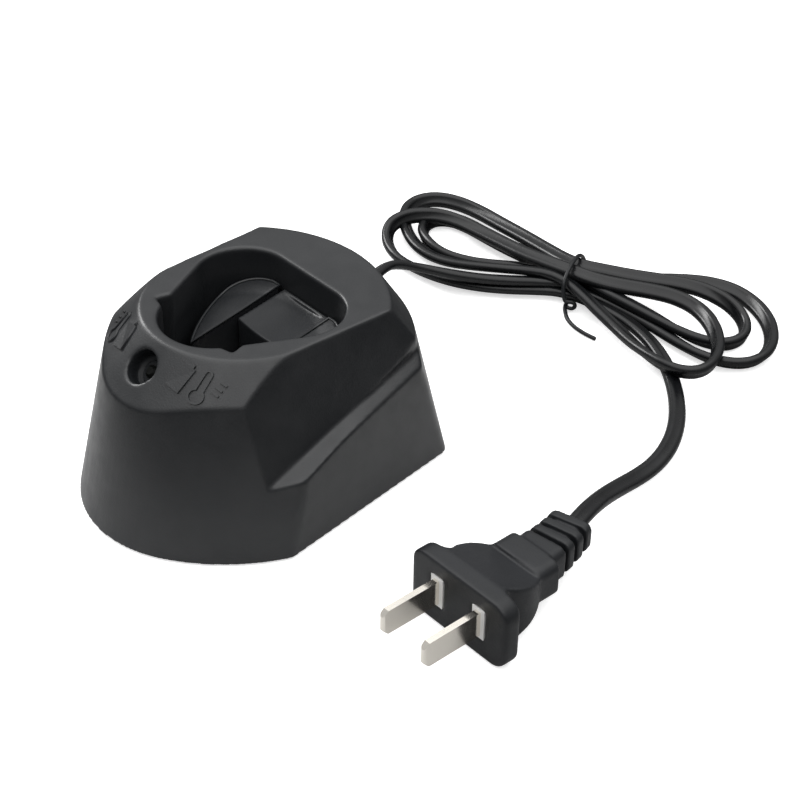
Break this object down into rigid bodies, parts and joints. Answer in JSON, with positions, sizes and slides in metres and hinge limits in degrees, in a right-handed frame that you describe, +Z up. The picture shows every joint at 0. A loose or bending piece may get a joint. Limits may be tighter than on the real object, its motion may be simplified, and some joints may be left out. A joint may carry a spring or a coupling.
{
  "type": "power tool battery charger",
  "caption": "Tabletop charger with a three-cell battery socket, an indicator hole, and a flat mains cord in a tied hank with a two-blade plug.",
  "frame": {"origin": "under the middle of the housing, on the surface that its feet stand on", "axes": "+Z up, -Y towards the front with the indicator hole, +Y towards the back where the cord leaves"},
  "size_m": [0.1566, 0.1871, 0.045],
  "materials": {
    "housing": "satin moulded",
    "foot": "matt",
    "screw": "zinc plated",
    "lamp": "frosted lens",
    "tinned": "tinned",
    "board": "phenolic laminate",
    "ferrite": "matt ceramic",
    "bobbin": "satin",
    "winding": "wound tape",
    "can": "sleeved can",
    "chip": "matt epoxy",
    "fuse": "ceramic",
    "disc": "dipped epoxy",
    "contact": "nickel plated",
    "cord": "glossy",
    "tie": "coated wire",
    "plug": "satin moulded",
    "insert": "white moulded",
    "blade": "nickel plated"
  },
  "bodies": {
    "root": {"upper_housing": "housing", "base_cover": "housing", "rubber_feet": "foot", "housing_screws": "screw", "led_holder": "housing", "indicator_led": "lamp", "led_leads": "tinned", "circuit_board": "board", "board_screws": "screw", "transformer_core": "ferrite", "transformer_bobbin": "bobbin", "transformer_winding": "winding", "input_capacitor": "can", "output_capacitor": "can", "bridge_rectifier": "chip", "controller_ic": "chip", "optocoupler": "chip", "fuse": "fuse", "output_diode": "chip", "line_choke": "ferrite", "suppression_capacitor": "disc", "contact_carrier": "housing", "contact_negative": "contact", "contact_temperature": "contact", "contact_positive": "contact", "cord_relief": "cord", "cord_lead": "cord", "cord_hank": "cord", "cord_tail": "cord", "cord_tie": "tie", "plug_body": "plug", "plug_insert": "insert", "plug_blades": "blade"}
  },
  "joints": []
}
